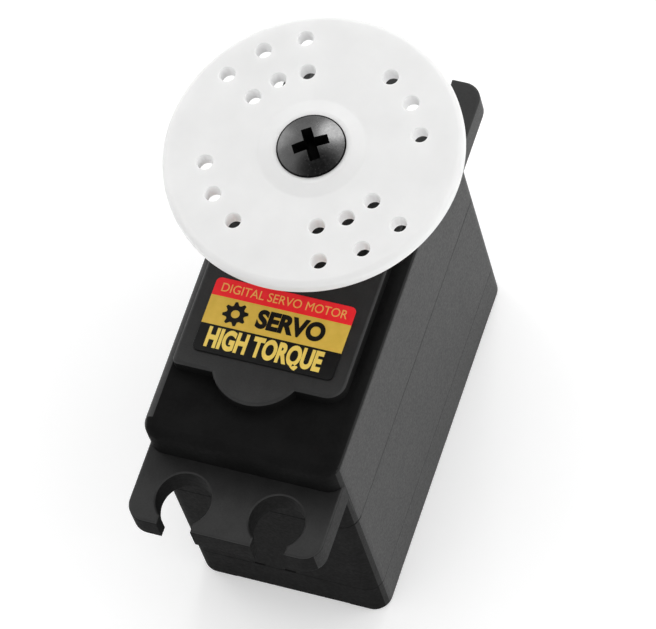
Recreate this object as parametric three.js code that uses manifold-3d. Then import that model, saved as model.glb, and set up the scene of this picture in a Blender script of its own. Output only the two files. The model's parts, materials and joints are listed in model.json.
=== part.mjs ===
// Mini-size digital servo motor with metal gears, two ball bearings and a round disc horn.
//
// Frame: millimetres, +Z up along the output shaft, +X towards the output end, origin at the
// centre of the case's underside. Every gear axis lies in the plane Y = 0.
//
// The group is built from the outside in: housing shells, output stage, gear train, motor,
// position sensor and control board. Touching pieces keep a small seam or running gap.

import * as THREE from "three";
import { mergeVertices } from "three/addons/utils/BufferGeometryUtils.js";
import Module from "manifold-3d";

const wasm = await Module();
wasm.setup();

// ---------------------------------------------------------------- driving dimensions

const FIT = 0.03; // gap of a press fit, a journal or a seam
const FAR = 60; // longer than anything in the part, for cutting tools

const CASE = { halfLength: 16.1, halfWidth: 8.4, corner: 1.5, wall: 1.0, floor: 1.2 };
const LEVEL = {
  coverTop: 4.25, // joint between the bottom cover and the middle case
  plateLow: 15.7, // the floor of the gearbox, part of the middle case
  plateTop: 16.9, // joint between the middle case and the top case
  flangeLow: 21.3,
  flangeHigh: 23.9,
  shelfRoof: 26.2, // inside of the top case under the shelf
  shelf: 27.4, // the lower step of the top case, at the motor end
  deckRoof: 27.2, // inside of the top case over the output wheel
  deck: 28.6, // the raised plate over the gear train
  boss: 31.0, // top of the ring round the upper bearing
};
const EDGE = { shelf: 0.9, deck: 0.3, base: 0.15, boss: 0.3 };
const FOOT = { length: 3.3, rise: 0.2 }; // the corners of the underside stand proud

const FLANGE = { halfLength: 22.1, halfWidth: 8.3, corner: 1.6 };
const KEYHOLE = { x: 19.5, y: 4.0, radius: 2.3, neck: 2.9 };
const DECK = { endX: -10.15, farX: 15.2, halfWidth: 7.4, corner: 1.7, noseR: 4.2 };
const LABEL = { x0: -8.65, x1: -2.0, halfWidth: 6.0, thick: 0.1, corner: 0.5 };
const CABLE_EXIT = { halfWidth: 2.2, low: 2.3 };

// Gear axes. The motor and the second gear share the end axis; the first and third gears
// share the centre axis.
const outputX = 7.62;
const centreX = -0.57;
const endX = -8.07;
const longReach = outputX - centreX;
const shortReach = centreX - endX;

const TEETH = {
  motorPinion: 10,
  firstWheel: 50,
  firstPinion: 11,
  secondWheel: 41,
  secondPinion: 10,
  thirdWheel: 38,
  thirdPinion: 10,
  outputWheel: 32,
};
const GEAR_Z = {
  motorPinion: [17.3, 19.7],
  firstWheel: [17.9, 19.1],
  firstPinion: [19.3, 21.9],
  secondWheel: [20.2, 21.4],
  secondPinion: [21.6, 23.9],
  thirdWheel: [22.3, 23.6],
  thirdPinion: [23.8, 26.2],
  outputWheel: [24.2, 26.2],
};
const TOOTH = { height: 0.9, depth: 1.15, shift: 0.4, backlash: 0.06 }; // in modules
const HUB = { radius: 1.15, below: 0.1 }; // the sleeve of a pinion inside its wheel
const PIN = { radius: 0.5, low: 14.6, high: 27.9, endLow: 20.4 };
const STOP = { inner: 5.4, outer: 6.2, low: 26.5, top: 27.0, fixedHalf: 80, movingHalf: 8 };

const SHAFT = { journal: 1.47, seat: 2.2, shoulder: 3.45, body: 2.97, low: 13.9, top: 34.2 };
const SPLINE = { teeth: 24, tip: 2.9, root: 2.62, low: 31.3 };
const UPPER_BEARING = { inner: 3.0, outer: 5.0, low: 27.3, high: 30.3, ballR: 0.55, balls: 9 };
const LOWER_BEARING = { inner: 1.5, outer: 3.0, low: 14.6, high: 16.6, ballR: 0.42, balls: 7 };
const RACE = { wall: 0.36, gap: 0.1, cage: 0.14, steps: 3 }; // wall as a share of the section

const HORN = { radius: 12.25, low: 34.2, high: 35.7, rim: 0.45, hubR: 4.2, hubLow: 31.3 };
const HORN_RING = { radius: 3.4, high: 36.0 };
const HORN_HOLE = { radius: 0.67, inner: 7.05, middle: 8.7, outer: 10.15, step: 20 };
const HORN_HOLE_TURN = { pairs: 41.5, singles: 131.5 };
const HORN_SCREW = { headR: 2.84, headLow: 36.03, headHigh: 36.6, shankR: 1.4, low: 28.9 };
const RECESS = { reach: 1.55, halfWidth: 0.44, depth: 0.45, turn: 33 };

const CASE_SCREW = { x: 14.3, y: 6.4, shankR: 0.7, headR: 1.3, headLow: 0.2, headHigh: 1.2, tip: 20.4 };
const POST = { radius: 1.7, clearR: 0.85, pocketR: 1.45 };

const MOTOR = { canR: 6.3, wall: 0.5, low: 4.9, high: 15.4, neckR: 1.9, neckHigh: 16.4, shaftR: 0.6 };
const MAGNET = { inner: 4.65, outer: 5.75, low: 6.9, high: 14.2, halfAngle: 66 };
const ARMATURE = { radius: 4.3, hubR: 1.5, neckHalf: 0.7, shoeInner: 3.5, shoeHalf: 46, low: 7.9,
  high: 13.4 };
const COIL = { inner: 1.7, outer: 3.15, halfWidth: 1.35, over: 0.5 };
const COMMUTATOR = { radius: 1.3, low: 5.8, high: 7.2 };
const BRUSH = { legY: 4.1, thick: 0.15, halfWidth: 0.5, low: 5.9, high: 6.4, capThick: 0.7 };
const MOTOR_SCREW = { y: 3.5, shankR: 0.5, headR: 0.95, low: 15.0, headHigh: 17.5 };

const SENSOR = { radius: 5.0, wall: 0.7, low: 9.4, high: 13.5, spindleR: 0.85, flat: 0.5 };
const BOARD = { low: 1.9, high: 2.7, halfLength: 14.9, halfWidth: 7.1, notchR: 2.3 };

// ---------------------------------------------------------------- finishes

const finish = (color, roughness, metalness = 0) =>
  new THREE.MeshStandardMaterial({ color, roughness, metalness });

const casePlastic = finish(0x1c1c1d, 0.5);
const hornNylon = finish(0xf1f1f0, 0.45);
const blackScrew = finish(0x1a1a1a, 0.3, 0.9);
const caseScrewSteel = finish(0x8f9296, 0.35, 0.9);
const labelFilm = finish(0xd3ae3c, 0.35);
const brass = finish(0xc9a14e, 0.35, 1);
const steel = finish(0xb4b7ba, 0.3, 1);
const canSteel = finish(0xb9bbbd, 0.35, 0.9);
const ferrite = finish(0x3a3a3c, 0.7, 0.2);
const copper = finish(0xb8683a, 0.4, 0.9);
const carbon = finish(0x2b2b2d, 0.7);
const laminate = finish(0x1f6b3a, 0.5);
const chipBlack = finish(0x1d1d20, 0.45);
const sensorBlue = finish(0x2f4f86, 0.5);
const whitePlastic = finish(0xe6e4dc, 0.5);

// ---------------------------------------------------------------- solids

// A closed three.js geometry as a solid that can be joined and cut.
function solid(geometry) {
  const bare = geometry.clone();
  bare.deleteAttribute("normal");
  bare.deleteAttribute("uv");
  const merged = mergeVertices(bare, 1e-4);
  const faces = [];
  for (let i = 0; i < merged.index.count; i += 3) {
    const [a, b, c] = merged.index.array.subarray(i, i + 3);
    if (a !== b && b !== c && c !== a) faces.push(a, b, c);
  }
  return new wasm.Manifold(
    new wasm.Mesh({
      numProp: 3,
      vertProperties: new Float32Array(merged.attributes.position.array),
      triVerts: new Uint32Array(faces),
    }),
  );
}

// A solid as a three.js geometry.
function geometryOf(body) {
  const mesh = body.getMesh();
  const geometry = new THREE.BufferGeometry();
  geometry.setAttribute("position", new THREE.BufferAttribute(mesh.vertProperties, mesh.numProp));
  geometry.setIndex(new THREE.BufferAttribute(mesh.triVerts, 1));
  geometry.computeVertexNormals();
  return geometry;
}

const join = (first, ...others) => others.reduce((all, next) => all.add(next), first);
const cut = (first, ...others) => others.reduce((all, next) => all.subtract(next), first);
const radians = THREE.MathUtils.degToRad;
const polar = (r, angle) => new THREE.Vector2(r * Math.cos(angle), r * Math.sin(angle));

// A closed outline pulled from z0 to z1, with both ends rounded over if an edge is given.
// Every arc of the outline is drawn with twice as many chords as arcs says.
function prism(shape, z0, z1, { x = 0, y = 0, turn = 0, edge = 0, arcs = 2, edgeSteps = 2 } = {}) {
  const geometry = new THREE.ExtrudeGeometry(shape, {
    depth: z1 - z0 - 2 * edge,
    curveSegments: arcs,
    bevelEnabled: edge > 0,
    bevelThickness: edge,
    bevelSize: edge,
    bevelOffset: -edge,
    bevelSegments: edgeSteps,
  });
  return solid(geometry.rotateZ(turn).translate(x, y, z0 + edge));
}

// A box between two corners, turned about a vertical axis at (x, y).
function box([x0, y0, z0], [x1, y1, z1], { x = 0, y = 0, turn = 0 } = {}) {
  const geometry = new THREE.BoxGeometry(x1 - x0, y1 - y0, z1 - z0);
  geometry.translate((x0 + x1) / 2, (y0 + y1) / 2, (z0 + z1) / 2);
  return solid(geometry.rotateZ(turn).translate(x, y, 0));
}

function cylinder(x, y, radius, z0, z1, sides = 16) {
  const geometry = new THREE.CylinderGeometry(radius, radius, z1 - z0, sides);
  return solid(geometry.rotateX(Math.PI / 2).translate(x, y, (z0 + z1) / 2));
}

// A profile of [radius, z] points, anticlockwise, turned about a vertical axis at (x, y).
function turned(profile, { x = 0, y = 0, sides = 16 } = {}) {
  const points = profile.map(([r, z]) => new THREE.Vector2(r, z));
  const geometry = new THREE.LatheGeometry(points, sides);
  return solid(geometry.rotateX(Math.PI / 2).translate(x, y, 0));
}

const ring = (inner, outer, z0, z1, options) =>
  turned([[inner, z0], [outer, z0], [outer, z1], [inner, z1], [inner, z0]], options);

const below = (z) => box([-FAR, -FAR, -FAR], [FAR, FAR, z]);
const above = (z) => box([-FAR, -FAR, z], [FAR, FAR, FAR]);

// ---------------------------------------------------------------- outlines

function roundedRectangle(x0, x1, y0, y1, r) {
  const shape = new THREE.Shape();
  shape.absarc(x1 - r, y0 + r, r, -Math.PI / 2, 0, false);
  shape.absarc(x1 - r, y1 - r, r, 0, Math.PI / 2, false);
  shape.absarc(x0 + r, y1 - r, r, Math.PI / 2, Math.PI, false);
  shape.absarc(x0 + r, y0 + r, r, Math.PI, 1.5 * Math.PI, false);
  shape.closePath();
  return shape;
}

// The case outline, moved inwards by a given amount.
function caseOutline(inset = 0) {
  const x = CASE.halfLength - inset;
  const y = CASE.halfWidth - inset;
  return roundedRectangle(-x, x, -y, y, CASE.corner - inset);
}

// Part of a ring between two radii, centred on an angle in degrees.
function sector(inner, outer, middle, half) {
  const from = radians(middle - half);
  const to = radians(middle + half);
  const shape = new THREE.Shape();
  shape.absarc(0, 0, outer, from, to, false);
  shape.absarc(0, 0, inner, to, from, true);
  shape.closePath();
  return shape;
}

// A round spindle with one flat.
function flattedCircle(radius, flat) {
  const half = Math.acos(flat / radius);
  const shape = new THREE.Shape();
  shape.absarc(0, 0, radius, half, 2 * Math.PI - half, false);
  shape.closePath();
  return shape;
}

function splineOutline(growth) {
  const points = [];
  const count = SPLINE.teeth * 2;
  for (let i = 0; i < count; i++) {
    const radius = i % 2 === 0 ? SPLINE.tip : SPLINE.root;
    points.push(polar(radius + growth, (2 * Math.PI * i) / count));
  }
  return new THREE.Shape(points);
}

// ---------------------------------------------------------------- gears

const PRESSURE = radians(20);
const FLANK_STEPS = 1;
const involute = (angle) => Math.tan(angle) - angle;

// The outline of an involute spur gear with a tooth centred on +X. A positive shift gives the
// long teeth of a pinion and a negative one the short teeth of its wheel.
function gearOutline(teeth, module, shift) {
  const pitchR = (module * teeth) / 2;
  const baseR = pitchR * Math.cos(PRESSURE);
  const tipR = pitchR + (TOOTH.height + shift) * module;
  const rootR = pitchR - (TOOTH.depth - shift) * module;
  const thickness = Math.PI / 2 + 2 * shift * Math.tan(PRESSURE) - 2 * TOOTH.backlash;
  const halfAngle = (r) => {
    const onFlank = Math.acos(Math.min(1, baseR / r));
    return thickness / teeth + involute(PRESSURE) - involute(onFlank);
  };
  const points = [];
  for (let k = 0; k < teeth; k++) {
    const middle = (2 * Math.PI * k) / teeth;
    for (let i = 0; i <= FLANK_STEPS; i++) {
      const r = rootR + ((tipR - rootR) * i) / FLANK_STEPS;
      points.push(polar(r, middle - halfAngle(r)));
    }
    for (let i = FLANK_STEPS; i >= 0; i--) {
      const r = rootR + ((tipR - rootR) * i) / FLANK_STEPS;
      points.push(polar(r, middle + halfAngle(r)));
    }
  }
  return new THREE.Shape(points);
}

// The turn that puts a tooth of the left gear into a gap of the right one.
const meshingTurn = (leftTeeth, rightTeeth) => ((2 * Math.PI) / leftTeeth) * (0.5 + rightTeeth / 2);

const moduleOf = (reach, pinionTeeth, wheelTeeth) => (2 * reach) / (pinionTeeth + wheelTeeth);
const firstModule = moduleOf(shortReach, TEETH.motorPinion, TEETH.firstWheel);
const secondModule = moduleOf(shortReach, TEETH.firstPinion, TEETH.secondWheel);
const thirdModule = moduleOf(shortReach, TEETH.secondPinion, TEETH.thirdWheel);
const outputModule = moduleOf(longReach, TEETH.thirdPinion, TEETH.outputWheel);

const pinionBlank = (teeth, module, [z0, z1], x, turn) =>
  prism(gearOutline(teeth, module, TOOTH.shift), z0, z1, { x, turn });
const wheelBlank = (teeth, module, [z0, z1], x, turn) =>
  prism(gearOutline(teeth, module, -TOOTH.shift), z0, z1, { x, turn });

// A steel pinion whose sleeve is pressed through its wheel and runs on a pin.
function sleevedPinion(teeth, module, span, wheelSpan, x, turn) {
  const sleeve = cylinder(x, 0, HUB.radius, wheelSpan[0] - HUB.below, span[0]);
  const bore = cylinder(x, 0, PIN.radius + FIT, wheelSpan[0] - HUB.below - 1, span[1] + 1, 16);
  return cut(join(pinionBlank(teeth, module, span, x, turn), sleeve), bore);
}

// A brass wheel with a bore for the sleeve and a thinned web between rim and hub.
function sleevedWheel(teeth, module, span, x, turn) {
  const [z0, z1] = span;
  const web = { inner: HUB.radius + 0.9, outer: (module * teeth) / 2 - 1.3, depth: 0.3 };
  const recess = ring(web.inner, web.outer, z1 - web.depth, z1 + 1, { x });
  const bore = cylinder(x, 0, HUB.radius + FIT, z0 - 1, z1 + 1);
  return cut(wheelBlank(teeth, module, span, x, turn), recess, bore);
}

// ---------------------------------------------------------------- bearings

const RACE_SIDES = 24;

// The groove that one race wears, as profile points from low to high.
function groove({ inner, outer, low, high, ballR }, edge) {
  const middleR = (inner + outer) / 2;
  const middleZ = (low + high) / 2;
  const radius = ballR + RACE.gap;
  const side = Math.sign(edge - middleR);
  const half = Math.acos(Math.abs(edge - middleR) / radius);
  const points = [];
  for (let i = 0; i <= RACE.steps; i++) {
    const angle = half * ((2 * i) / RACE.steps - 1);
    points.push([middleR + side * radius * Math.cos(angle), middleZ + radius * Math.sin(angle)]);
  }
  return points;
}

function innerRace(size, x) {
  const { inner, outer, low, high } = size;
  const edge = inner + (outer - inner) * RACE.wall;
  const worn = groove(size, edge);
  const profile = [[inner, low], [edge, low], ...worn, [edge, high], [inner, high], [inner, low]];
  return turned(profile, { x, sides: RACE_SIDES });
}

function outerRace(size, x) {
  const { inner, outer, low, high } = size;
  const edge = outer - (outer - inner) * RACE.wall;
  const worn = groove(size, edge).reverse();
  const profile = [[edge, low], [outer, low], [outer, high], [edge, high], ...worn, [edge, low]];
  return turned(profile, { x, sides: RACE_SIDES });
}

// The balls and the thin cage that carries them round, as one piece.
function ballCage({ inner, outer, low, high, ballR, balls }, x) {
  const middleR = (inner + outer) / 2;
  const middleZ = (low + high) / 2;
  let cage = ring(middleR - RACE.cage, middleR + RACE.cage, middleZ - ballR / 2, middleZ + ballR / 2, {
    x,
    sides: balls,
  });
  for (let i = 0; i < balls; i++) {
    const { x: dx, y } = polar(middleR, (2 * Math.PI * i) / balls);
    const ball = new THREE.SphereGeometry(ballR, 6, 4).translate(x + dx, y, middleZ);
    cage = join(cage, solid(ball));
  }
  return cage;
}

// ---------------------------------------------------------------- housing

const corners = [[1, 1], [-1, 1], [-1, -1], [1, -1]];
const ends = [1, -1];

const postsBetween = (z0, z1) =>
  corners.map(([i, j]) => cylinder(i * CASE_SCREW.x, j * CASE_SCREW.y, POST.radius, z0, z1, 12));
const boresBetween = (radius, z0, z1) =>
  corners.map(([i, j]) => cylinder(i * CASE_SCREW.x, j * CASE_SCREW.y, radius, z0, z1, 12));

function keyholes() {
  return ends.flatMap((end) =>
    ends.flatMap((side) => {
      const x = end * KEYHOLE.x;
      const y = side * KEYHOLE.y;
      const x0 = Math.min(x, end * FAR);
      const x1 = Math.max(x, end * FAR);
      const halfNeck = KEYHOLE.neck / 2;
      return [
        cylinder(x, y, KEYHOLE.radius, LEVEL.flangeLow - 1, LEVEL.flangeHigh + 1, 16),
        box([x0, y - halfNeck, LEVEL.flangeLow - 1], [x1, y + halfNeck, LEVEL.flangeHigh + 1]),
      ];
    }),
  );
}

function topCase() {
  const block = prism(caseOutline(), LEVEL.plateTop - 2, LEVEL.shelf, { edge: EDGE.shelf, arcs: 3 });
  const flangeX = FLANGE.halfLength;
  const flangeY = FLANGE.halfWidth;
  const flange = prism(
    roundedRectangle(-flangeX, flangeX, -flangeY, flangeY, FLANGE.corner),
    LEVEL.flangeLow,
    LEVEL.flangeHigh,
  );
  const { endX: deckEnd, farX, halfWidth, corner, noseR } = DECK;
  const deckLow = LEVEL.shelf - 1;
  const deck = prism(
    roundedRectangle(deckEnd, farX, -halfWidth, halfWidth, corner),
    deckLow,
    LEVEL.deck,
    { edge: EDGE.deck },
  );
  const nose = turned(
    [[0, deckLow], [noseR, deckLow], [noseR, LEVEL.deck - EDGE.deck], [noseR - EDGE.deck, LEVEL.deck],
      [0, LEVEL.deck]],
    { x: endX, sides: 20 },
  );
  const bossR = UPPER_BEARING.outer + 1.2;
  const boss = turned(
    [[0, deckLow], [bossR, deckLow], [bossR, LEVEL.boss - EDGE.boss], [bossR - EDGE.boss, LEVEL.boss],
      [0, LEVEL.boss]],
    { x: outputX, sides: RACE_SIDES },
  );

  const pocket = prism(caseOutline(CASE.wall), LEVEL.plateTop - 3, LEVEL.shelfRoof, { arcs: 1 });
  const innerX = CASE.halfLength - CASE.wall;
  const innerY = CASE.halfWidth - CASE.wall;
  const raisedPocket = prism(
    roundedRectangle(centreX - 3, innerX - 0.8, -innerY + 0.6, innerY - 0.6, 0.8),
    LEVEL.plateTop,
    LEVEL.deckRoof,
    { arcs: 1 },
  );
  const seatR = UPPER_BEARING.outer + FIT;
  const lipR = UPPER_BEARING.outer - 0.6;
  const lipLow = UPPER_BEARING.high + 0.05;
  const bearingSeat = turned(
    [[0, LEVEL.shelfRoof], [seatR, LEVEL.shelfRoof], [seatR, lipLow], [lipR, lipLow], [lipR, LEVEL.boss + 1],
      [0, LEVEL.boss + 1]],
    { x: outputX, sides: RACE_SIDES },
  );

  const stop = prism(sector(STOP.inner, STOP.outer, 180, STOP.fixedHalf), STOP.low, LEVEL.deckRoof + 0.3, {
    x: outputX,
    arcs: 6,
  });
  const pinBores = [centreX, endX].map((x) =>
    cylinder(x, 0, PIN.radius + FIT, LEVEL.plateTop, PIN.high + 0.05, 16),
  );

  const shell = cut(join(block, flange, deck, nose, boss), below(LEVEL.plateTop + FIT), pocket, raisedPocket);
  const posts = postsBetween(LEVEL.plateTop + FIT, LEVEL.shelfRoof + 0.1);
  return cut(
    join(shell, ...posts, stop),
    bearingSeat,
    ...pinBores,
    ...keyholes(),
    ...boresBetween(CASE_SCREW.shankR + FIT, LEVEL.plateTop - 1, CASE_SCREW.tip + 0.1),
  );
}

function middleCase() {
  const block = prism(caseOutline(), LEVEL.coverTop + FIT, LEVEL.plateTop - FIT);
  const bay = prism(caseOutline(CASE.wall), LEVEL.coverTop - 1, LEVEL.plateLow, { arcs: 1 });
  const inside = LEVEL.plateLow + 0.1;
  const seatLow = LOWER_BEARING.low - 0.1;
  const bearingBoss = cylinder(outputX, 0, LOWER_BEARING.outer + 1, seatLow - 0.6, inside, RACE_SIDES);
  const pinBoss = cylinder(centreX, 0, PIN.radius * 2, PIN.low - 0.6, inside, 16);
  const sensorWall = ring(SENSOR.radius + FIT, SENSOR.radius + 0.8, SENSOR.low, inside, {
    x: outputX,
    sides: RACE_SIDES,
  });
  const over = LEVEL.plateTop + 1;
  const bearingSeat = cylinder(outputX, 0, LOWER_BEARING.outer + FIT, seatLow, over, RACE_SIDES);
  const shaftBore = cylinder(outputX, 0, LOWER_BEARING.outer - 0.8, seatLow - 2, seatLow + 1);
  const pinBore = cylinder(centreX, 0, PIN.radius + FIT, PIN.low - 0.05, over, 16);
  const neckBore = cylinder(endX, 0, MOTOR.neckR + FIT, LEVEL.plateLow - 1, over, 24);
  const screwBores = ends.map((side) =>
    cylinder(endX, side * MOTOR_SCREW.y, MOTOR_SCREW.shankR + FIT, LEVEL.plateLow - 1, over, 12),
  );
  const posts = postsBetween(LEVEL.coverTop + FIT, inside);
  return cut(
    join(cut(block, bay), ...posts, bearingBoss, pinBoss, sensorWall),
    bearingSeat,
    shaftBore,
    pinBore,
    neckBore,
    ...screwBores,
    ...boresBetween(POST.clearR, LEVEL.coverTop - 1, over),
  );
}

function bottomCover() {
  const block = prism(caseOutline(), 0, LEVEL.coverTop + 2, { edge: EDGE.base });
  const reliefX = CASE.halfLength - FOOT.length;
  const reliefY = CASE.halfWidth - FOOT.length;
  const reliefs = [
    box([-reliefX, -FAR, -1], [reliefX, FAR, FOOT.rise]),
    box([-FAR, -reliefY, -1], [FAR, reliefY, FOOT.rise]),
  ];
  const bay = prism(caseOutline(CASE.wall), CASE.floor, LEVEL.coverTop + 3, { arcs: 1 });
  const top = LEVEL.coverTop - FIT;
  const pads = corners.map(([i, j]) =>
    box([-1, -1, CASE.floor - 0.1], [1, 1, BOARD.low - FIT], { x: i * 8, y: j * 5.5 }),
  );
  const cableExit = box(
    [CASE.halfLength - 3, -CABLE_EXIT.halfWidth, CABLE_EXIT.low],
    [FAR, CABLE_EXIT.halfWidth, FAR],
  );
  return cut(
    join(cut(block, bay), ...postsBetween(CASE.floor - 0.1, top), ...pads),
    above(top),
    ...reliefs,
    cableExit,
    ...boresBetween(POST.pocketR, -1, CASE_SCREW.headHigh + FIT),
    ...boresBetween(POST.clearR, 0, LEVEL.coverTop + 1),
  );
}

function caseScrew([i, j]) {
  const { shankR, headR, headLow, headHigh, tip } = CASE_SCREW;
  return turned(
    [[0, headLow], [headR, headLow], [headR, headHigh], [shankR, headHigh], [shankR, tip - 0.5],
      [shankR / 2, tip], [0, tip]],
    { x: i * CASE_SCREW.x, y: j * CASE_SCREW.y, sides: 12 },
  );
}

const label = prism(
  roundedRectangle(LABEL.x0, LABEL.x1, -LABEL.halfWidth, LABEL.halfWidth, LABEL.corner),
  LEVEL.deck + FIT,
  LEVEL.deck + FIT + LABEL.thick,
);

// ---------------------------------------------------------------- output stage

function outputShaft() {
  const { journal, seat, shoulder, body, low, top } = SHAFT;
  const [wheelLow, wheelHigh] = GEAR_Z.outputWheel;
  const core = turned(
    [[0, low], [journal, low], [journal, wheelLow - FIT - 0.2], [seat, wheelLow - FIT],
      [seat, wheelHigh + FIT], [shoulder, wheelHigh + FIT], [shoulder, UPPER_BEARING.low - FIT],
      [body, UPPER_BEARING.low - FIT], [body, SPLINE.low], [SPLINE.root, SPLINE.low], [SPLINE.root, top], [0, top]],
    { x: outputX, sides: RACE_SIDES },
  );
  const spline = prism(splineOutline(0), SPLINE.low - 0.1, top, { x: outputX });
  const tapping = cylinder(outputX, 0, HORN_SCREW.shankR + FIT, HORN_SCREW.low - 0.2, top + 1);
  const socket = prism(
    flattedCircle(SENSOR.spindleR + FIT, SENSOR.flat + FIT),
    low - 1,
    low + 2.6,
    { x: outputX, arcs: 6 },
  );
  return cut(join(core, spline), tapping, socket);
}

function outputWheel() {
  const [z0, z1] = GEAR_Z.outputWheel;
  const blank = wheelBlank(TEETH.outputWheel, outputModule, GEAR_Z.outputWheel, outputX, 0);
  const bore = cylinder(outputX, 0, SHAFT.seat + FIT, z0 - 1, z1 + 1, RACE_SIDES);
  const stop = prism(sector(STOP.inner, STOP.outer, 0, STOP.movingHalf), z1 - 0.1, STOP.top, { x: outputX });
  return join(cut(blank, bore), stop);
}

function hornHoles() {
  const { radius, step } = HORN_HOLE;
  const { pairs, singles } = HORN_HOLE_TURN;
  const places = [];
  for (const half of [0, 180]) {
    for (const offset of [-step, 0, step]) {
      places.push([HORN_HOLE.inner, pairs + offset + half]);
      places.push([HORN_HOLE.outer, pairs + offset + half]);
      places.push([HORN_HOLE.middle, singles + offset + half]);
    }
  }
  return places.map(([reach, angle]) => {
    const { x, y } = polar(reach, radians(angle));
    return cylinder(outputX + x, y, radius, HORN.low - 1, HORN.high + 1, 10);
  });
}

function horn() {
  const { radius, low, high, rim, hubR, hubLow } = HORN;
  const disc = turned(
    [[0, hubLow], [hubR, hubLow], [hubR, low], [radius - rim, low], [radius, low + rim],
      [radius, high - rim], [radius - rim, high], [HORN_RING.radius + 0.2, high],
      [HORN_RING.radius, HORN_RING.high], [0, HORN_RING.high]],
    { x: outputX, sides: 60 },
  );
  const socket = prism(splineOutline(FIT), hubLow - 1, SHAFT.top + 0.1, { x: outputX });
  const bore = cylinder(outputX, 0, HORN_SCREW.shankR + 0.1, hubLow, HORN_RING.high + 1);
  return cut(disc, socket, bore, ...hornHoles());
}

function hornScrew() {
  const { headR, headLow, headHigh, shankR, low } = HORN_SCREW;
  const rise = headHigh - headLow;
  const body = turned(
    [[0, low], [shankR * 0.7, low], [shankR, low + 0.5], [shankR, headLow], [headR, headLow],
      [headR, headLow + rise * 0.35], [headR * 0.88, headLow + rise * 0.68],
      [headR * 0.6, headLow + rise * 0.9], [0, headHigh]],
    { x: outputX, sides: 20 },
  );
  const slots = [0, 90].map((angle) =>
    box(
      [-RECESS.reach, -RECESS.halfWidth, headHigh - RECESS.depth],
      [RECESS.reach, RECESS.halfWidth, headHigh + 1],
      { x: outputX, turn: radians(RECESS.turn + angle) },
    ),
  );
  return cut(body, ...slots);
}

// ---------------------------------------------------------------- motor

const { canR, wall: canWall, low: canLow, high: canHigh, neckR, neckHigh, shaftR } = MOTOR;

function motorCan() {
  const inner = canR - canWall;
  const roof = canHigh - canWall;
  const bore = shaftR + 0.05;
  const can = turned(
    [[inner, canLow], [canR, canLow], [canR, canHigh], [neckR, canHigh], [neckR, neckHigh], [bore, neckHigh],
      [bore, roof], [inner, roof], [inner, canLow]],
    { x: endX, sides: 24 },
  );
  const tappings = ends.map((side) =>
    cylinder(endX, side * MOTOR_SCREW.y, MOTOR_SCREW.shankR + FIT, roof - 1, canHigh + 1, 12),
  );
  return cut(can, ...tappings);
}

function motorEndCap() {
  const cap = cylinder(endX, 0, canR - canWall - FIT, canLow, canLow + BRUSH.capThick, 24);
  const bore = cylinder(endX, 0, shaftR + 0.05, canLow - 1, canLow + 2, 16);
  const slots = ends.map((side) => brushLeg(side, FIT));
  return cut(cap, bore, ...slots);
}

function brushLeg(side, growth) {
  const y = side * BRUSH.legY;
  return box(
    [endX - BRUSH.halfWidth - growth, y - BRUSH.thick - growth, BOARD.high + FIT],
    [endX + BRUSH.halfWidth + growth, y + BRUSH.thick + growth, BRUSH.high],
  );
}

// A brush arm that touches the commutator, with the terminal leg that reaches the board.
function motorBrush(side) {
  const y0 = side * (COMMUTATOR.radius + FIT);
  const y1 = side * BRUSH.legY;
  const arm = box(
    [endX - BRUSH.halfWidth, Math.min(y0, y1), BRUSH.low],
    [endX + BRUSH.halfWidth, Math.max(y0, y1), BRUSH.high],
  );
  return join(brushLeg(side, 0), arm);
}

const motorMagnet = (middle) =>
  prism(sector(MAGNET.inner, MAGNET.outer, middle, MAGNET.halfAngle), MAGNET.low, MAGNET.high, {
    x: endX,
    arcs: 4,
  });

const poleAngles = [0, 120, 240];

function armatureCore() {
  const { radius, neckHalf, shoeInner, low, high, shoeHalf, hubR } = ARMATURE;
  let core = cylinder(endX, 0, hubR, low, high);
  for (const angle of poleAngles) {
    const place = { x: endX, turn: radians(angle) };
    const neck = box([0, -neckHalf, low], [shoeInner + 0.3, neckHalf, high], place);
    const shoe = prism(sector(shoeInner, radius, angle, shoeHalf), low, high, { x: endX, arcs: 4 });
    core = join(core, neck, shoe);
  }
  return cut(core, cylinder(endX, 0, shaftR + FIT, low - 1, high + 1, 16));
}

// The copper wound round one pole of the armature.
function coil(angle) {
  const { neckHalf, low, high } = ARMATURE;
  const { inner, outer, halfWidth, over } = COIL;
  const place = { x: endX, turn: radians(angle) };
  const wound = box([inner, -halfWidth, low - over], [outer, halfWidth, high + over], place);
  const pole = box([inner - 1, -neckHalf - FIT, low - FIT], [outer + 1, neckHalf + FIT, high + FIT], place);
  return cut(wound, pole);
}

// ---------------------------------------------------------------- position sensor and board

function sensorBody() {
  const { radius, wall, low, high, spindleR } = SENSOR;
  const bore = spindleR + 0.08;
  return turned(
    [[radius - wall, low], [radius, low], [radius, high], [bore, high], [bore, high - wall],
      [radius - wall, high - wall], [radius - wall, low]],
    { x: outputX, sides: 24 },
  );
}

const sensorBase = cylinder(outputX, 0, SENSOR.radius - SENSOR.wall - FIT, SENSOR.low, SENSOR.low + 0.7, 24);

function sensorSpindle() {
  const low = SENSOR.low + 0.8;
  const spindle = prism(flattedCircle(SENSOR.spindleR, SENSOR.flat), low, SHAFT.low + 2.4, {
    x: outputX,
    arcs: 6,
  });
  return join(spindle, cylinder(outputX, 0, SENSOR.radius - SENSOR.wall - 0.5, low + 0.5, low + 1.2, 24));
}

const sensorLeg = (offset) =>
  box([-0.25, -0.15, BOARD.high + FIT], [0.25, 0.15, SENSOR.low - FIT], { x: outputX + offset, y: -3.2 });

function board() {
  const { low, high, halfLength, halfWidth, notchR } = BOARD;
  const plate = prism(roundedRectangle(-halfLength, halfLength, -halfWidth, halfWidth, 0.5), low, high);
  return cut(plate, ...boresBetween(notchR, low - 1, high + 1));
}

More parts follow.
